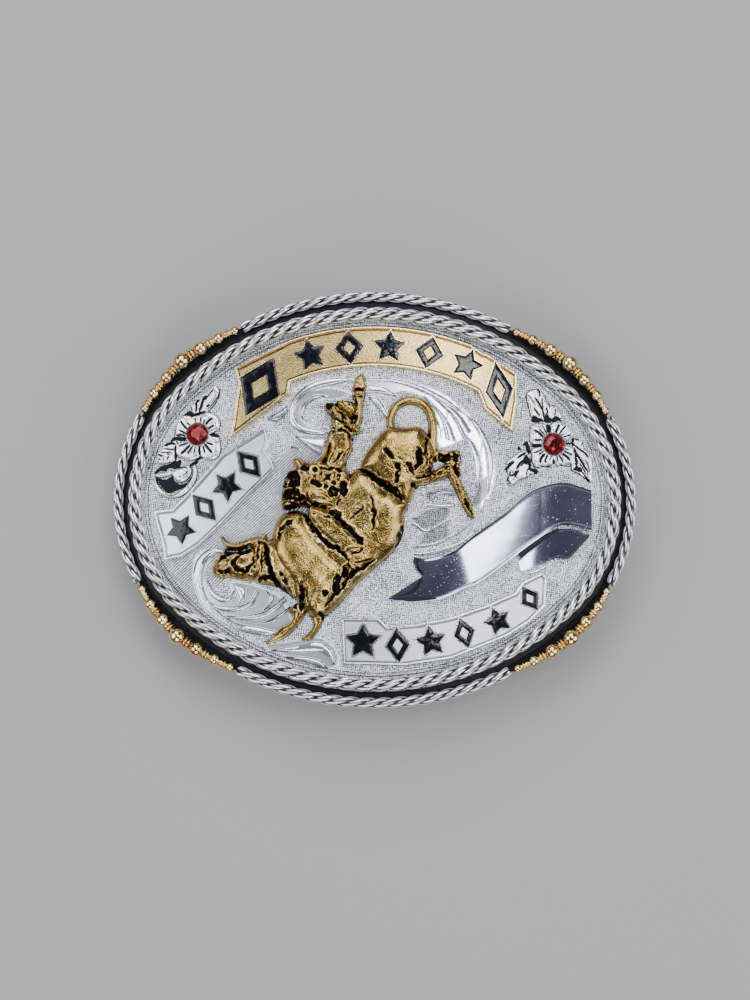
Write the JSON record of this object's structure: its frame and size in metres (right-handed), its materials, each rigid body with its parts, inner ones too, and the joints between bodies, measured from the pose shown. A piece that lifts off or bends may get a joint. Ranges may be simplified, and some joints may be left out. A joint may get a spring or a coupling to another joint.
{
  "type": "western belt buckle",
  "caption": "Oval western trophy buckle with rope edging, raised bull and rider, blank banners, ribbon, flowers with red stones, and a belt loop and hook post behind.",
  "frame": {"origin": "centre of the bounding box at its lowest level, on the surface that the buckle lies on face up", "axes": "+X along the buckle's width towards the hook post's end, +Y towards the top of the design, +Z out of the face"},
  "size_m": [0.1084, 0.0852, 0.0182],
  "materials": {
    "plate_silver": "frosted and hatched silver plate",
    "groove_black": "black enamel",
    "rope_silver": "polished twisted silver wire",
    "bead_gold": "polished gold plate",
    "banner_gold": "satin gold plate",
    "banner_silver": "satin silver plate",
    "banner_enamel": "glossy blue-black enamel",
    "ribbon_silver": "mirror-polished silver",
    "flower_silver": "polished silver with blackened recesses",
    "stone_red": "deep red faceted glass",
    "figure_gold": "polished gold with blackened recesses",
    "back_fitting": "plain nickel-coloured metal"
  },
  "bodies": {
    "root": {"base_plate": "plate_silver", "groove_enamel": "groove_black", "inner_rope": "rope_silver", "outer_rope_top": "rope_silver", "outer_rope_left": "rope_silver", "outer_rope_bottom": "rope_silver", "outer_rope_right": "rope_silver", "beads_upper_right": "bead_gold", "beads_upper_left": "bead_gold", "beads_lower_left": "bead_gold", "beads_lower_right": "bead_gold", "top_banner": "banner_gold", "top_banner_enamel": "banner_enamel", "left_banner": "banner_silver", "left_banner_enamel": "banner_enamel", "lower_banner": "banner_silver", "lower_banner_enamel": "banner_enamel", "ribbon": "ribbon_silver", "left_flower": "flower_silver", "right_flower": "flower_silver", "left_stone": "stone_red", "right_stone": "stone_red", "bull_and_rider": "figure_gold", "belt_loop": "back_fitting", "hook_post": "back_fitting"}
  },
  "joints": []
}
